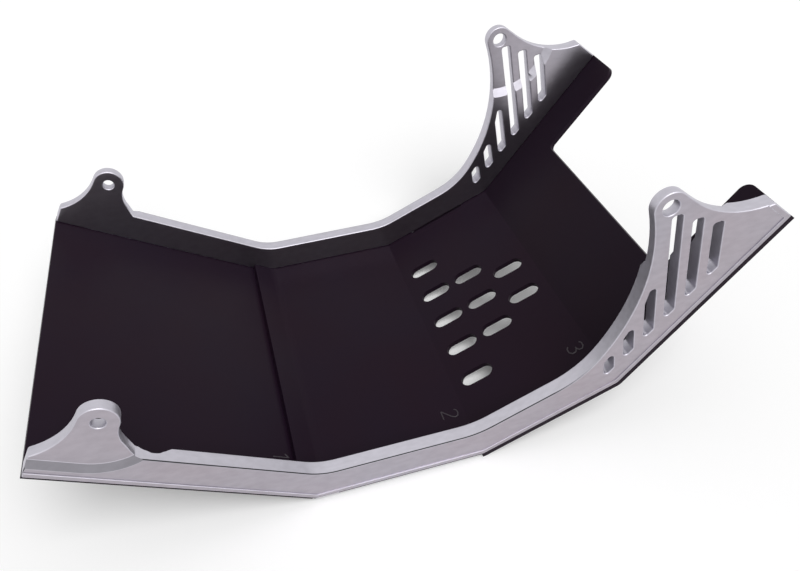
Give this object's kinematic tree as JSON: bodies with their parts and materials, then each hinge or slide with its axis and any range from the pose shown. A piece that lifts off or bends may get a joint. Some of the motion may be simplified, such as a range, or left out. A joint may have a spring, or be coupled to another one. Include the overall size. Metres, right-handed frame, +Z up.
{
  "type": "motorcycle skid plate",
  "caption": "Folded black sheet that guards a motorcycle's engine from below, carried by machined side rails with lugs and slotted ears to bolt it to the frame.",
  "frame": {"origin": "centre of the part's box in plan, on the ground under the flat middle panel", "axes": "+X towards the upswept front end, +Y towards the motorcycle's left side, +Z up"},
  "size_m": [0.5296, 0.296, 0.2239],
  "materials": {
    "sheet": "black anodised, semi-gloss",
    "rail": "bare, finely milled",
    "screw": "black oxide"
  },
  "bodies": {
    "root": {"front_sheet": "sheet", "rear_sheet": "sheet", "rail_left": "rail", "rail_right": "rail", "screw_left_1": "screw", "screw_left_2": "screw", "screw_left_3": "screw", "screw_left_4": "screw", "screw_left_5": "screw", "screw_left_6": "screw", "screw_left_7": "screw", "screw_left_8": "screw", "screw_left_9": "screw", "screw_left_10": "screw", "screw_right_1": "screw", "screw_right_2": "screw", "screw_right_3": "screw", "screw_right_4": "screw", "screw_right_5": "screw", "screw_right_6": "screw", "screw_right_7": "screw", "screw_right_8": "screw", "screw_right_9": "screw", "screw_right_10": "screw"}
  },
  "joints": []
}
